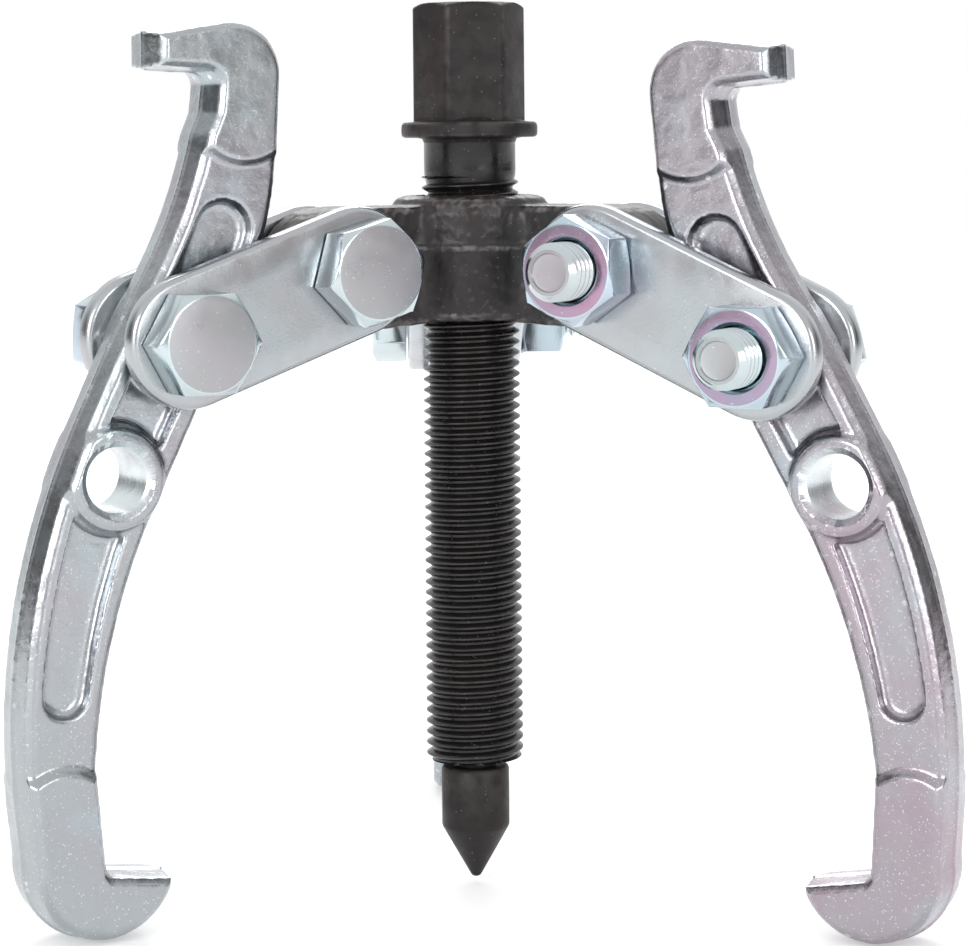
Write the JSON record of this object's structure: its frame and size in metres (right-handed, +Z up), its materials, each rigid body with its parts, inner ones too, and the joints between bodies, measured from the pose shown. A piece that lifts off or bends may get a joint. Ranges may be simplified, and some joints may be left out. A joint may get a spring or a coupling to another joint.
{
  "type": "gear puller",
  "caption": "Reversible gear puller: threaded black yoke with strap links and double-ended zinc jaws round a hexagon-headed forcing screw.",
  "frame": {"origin": "centre of the small flat on the end of the centre point", "axes": "+Z up along the forcing screw towards its hexagon; one arm points along +Y and the other two at 210 and 330 degrees from +X"},
  "size_m": [0.1255, 0.1127, 0.1242],
  "materials": {
    "yoke_black": "black oxide on a forging, half gloss, rubbed along the parting line",
    "screw_black": "black oxide, oiled, half gloss",
    "jaw_zinc": "clear zinc plate over a forged, faintly hammered surface",
    "strap_zinc": "clear zinc plate over smooth rolled strip",
    "bolt_zinc": "bright zinc plate with a pale blue tint",
    "nut_zinc": "bright zinc plate with a violet and blue tint"
  },
  "bodies": {
    "yoke": {"yoke": "yoke_black"},
    "centre_point": {"centre_point": "screw_black"},
    "forcing_screw": {"forcing_screw": "screw_black"},
    "left_links": {"left_strap_head_side": "strap_zinc", "left_strap_nut_side": "strap_zinc", "left_yoke_bolt": "bolt_zinc", "left_yoke_nut": "nut_zinc", "left_jaw_bolt": "bolt_zinc", "left_jaw_nut": "nut_zinc"},
    "left_jaw": {"left_jaw": "jaw_zinc"},
    "right_links": {"right_strap_head_side": "strap_zinc", "right_strap_nut_side": "strap_zinc", "right_yoke_bolt": "bolt_zinc", "right_yoke_nut": "nut_zinc", "right_jaw_bolt": "bolt_zinc", "right_jaw_nut": "nut_zinc"},
    "right_jaw": {"right_jaw": "jaw_zinc"},
    "rear_links": {"rear_strap_head_side": "strap_zinc", "rear_strap_nut_side": "strap_zinc", "rear_yoke_bolt": "bolt_zinc", "rear_yoke_nut": "nut_zinc", "rear_jaw_bolt": "bolt_zinc", "rear_jaw_nut": "nut_zinc"},
    "rear_jaw": {"rear_jaw": "jaw_zinc"}
  },
  "joints": [
    {"name": "screw_advance", "type": "slide", "parent": "yoke", "child": "centre_point", "axis": [0, 0, 1], "range_m": [-0.003, 0.06]},
    {"name": "screw_turn", "type": "hinge", "parent": "centre_point", "child": "forcing_screw", "pos_m": [0, 0, 0.1], "axis": [0, 0, 1], "range_deg": [-720, 14400]},
    {"name": "left_link_hinge", "type": "hinge", "parent": "yoke", "child": "left_links", "pos_m": [-0.01966, -0.01135, 0.08618], "axis": [-0.5, 0.866, 0], "range_deg": [-24, 36]},
    {"name": "left_jaw_hinge", "type": "hinge", "parent": "left_links", "child": "left_jaw", "pos_m": [-0.04127, -0.02383, 0.07773], "axis": [0.5, -0.866, 0], "range_deg": [-12, 30]},
    {"name": "right_link_hinge", "type": "hinge", "parent": "yoke", "child": "right_links", "pos_m": [0.01966, -0.01135, 0.08618], "axis": [-0.5, -0.866, 0], "range_deg": [-18, 42]},
    {"name": "right_jaw_hinge", "type": "hinge", "parent": "right_links", "child": "right_jaw", "pos_m": [0.04044, -0.02335, 0.0753], "axis": [0.5, 0.866, 0], "range_deg": [-4, 32]},
    {"name": "rear_link_hinge", "type": "hinge", "parent": "yoke", "child": "rear_links", "pos_m": [0, 0.0227, 0.08618], "axis": [1, 0, 0], "range_deg": [-21, 39]},
    {"name": "rear_jaw_hinge", "type": "hinge", "parent": "rear_links", "child": "rear_jaw", "pos_m": [0, 0.04722, 0.07652], "axis": [-1, 0, 0], "range_deg": [-8, 31]}
  ],
  "couplings": [
    {"joint": "screw_turn", "follows": "screw_advance", "rad_per_m": 4188.8}
  ]
}
